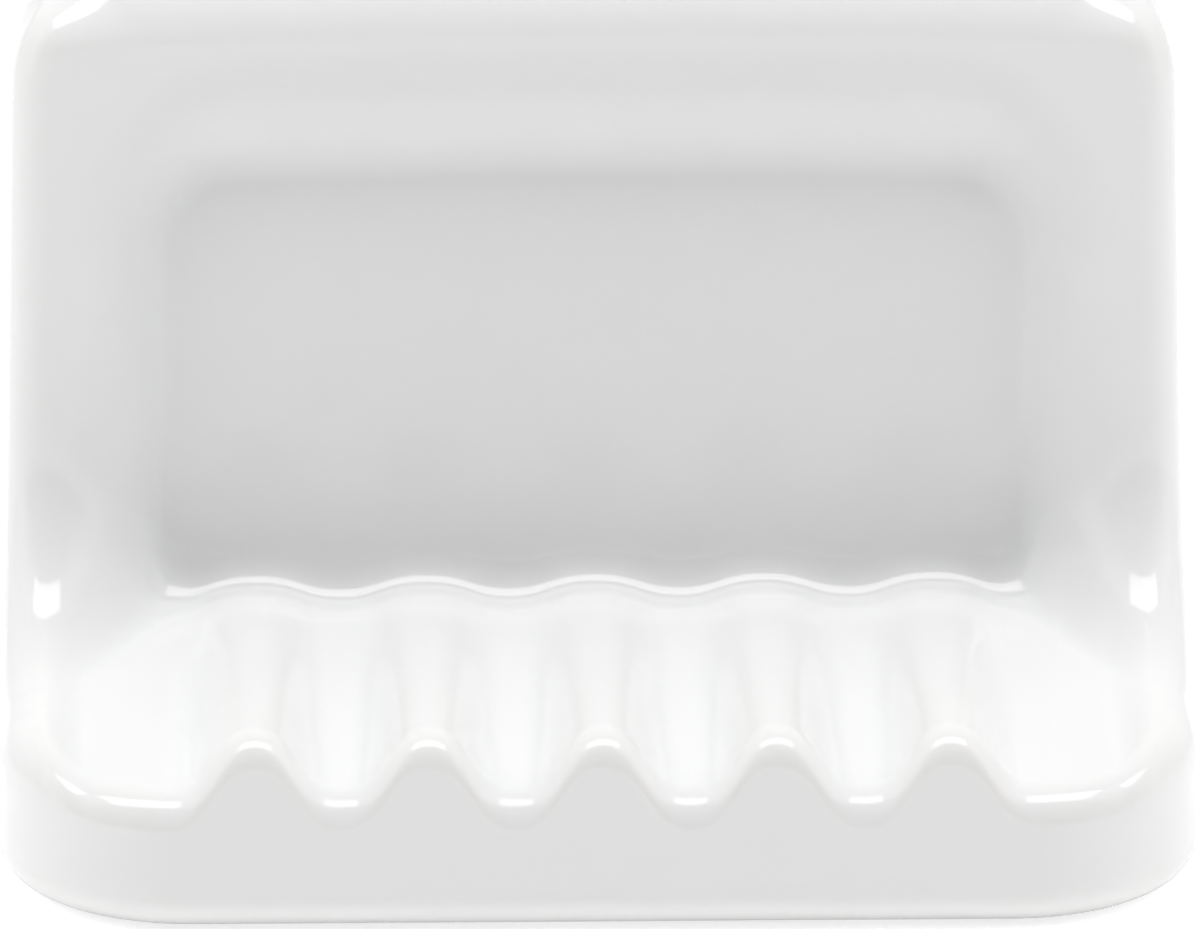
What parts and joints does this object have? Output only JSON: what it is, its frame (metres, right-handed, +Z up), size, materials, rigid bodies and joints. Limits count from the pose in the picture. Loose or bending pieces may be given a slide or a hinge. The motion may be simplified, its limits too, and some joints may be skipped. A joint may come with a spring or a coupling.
{
  "type": "wall soap dish",
  "caption": "Glazed ceramic wall soap dish with a rimmed scooped back and a ridged draining tray, lifting off a concealed steel wall clip held by screws in anchors.",
  "frame": {"origin": "on the wall plane, midway between the two clip screws", "axes": "+Y into the wall, +Z up, +X to the right of someone facing the dish; the dish projects towards -Y"},
  "size_m": [0.1648, 0.115, 0.12],
  "materials": {
    "glazed_ceramic": "glossy white glaze, bare bisque where it meets the wall",
    "zinc_plated_steel": "bright zinc plating on stamped sheet",
    "screw_steel": "bright zinc plating",
    "nylon": "moulded natural nylon"
  },
  "bodies": {
    "wall_fixing": {"wall_clip": "zinc_plated_steel", "clip_screws": "screw_steel", "wall_anchors": "nylon"},
    "dish": {"dish_body": "glazed_ceramic"}
  },
  "joints": [
    {"name": "lift_off", "type": "slide", "parent": "wall_fixing", "child": "dish", "axis": [0, 0, 1], "range_m": [0, 0.042]}
  ]
}
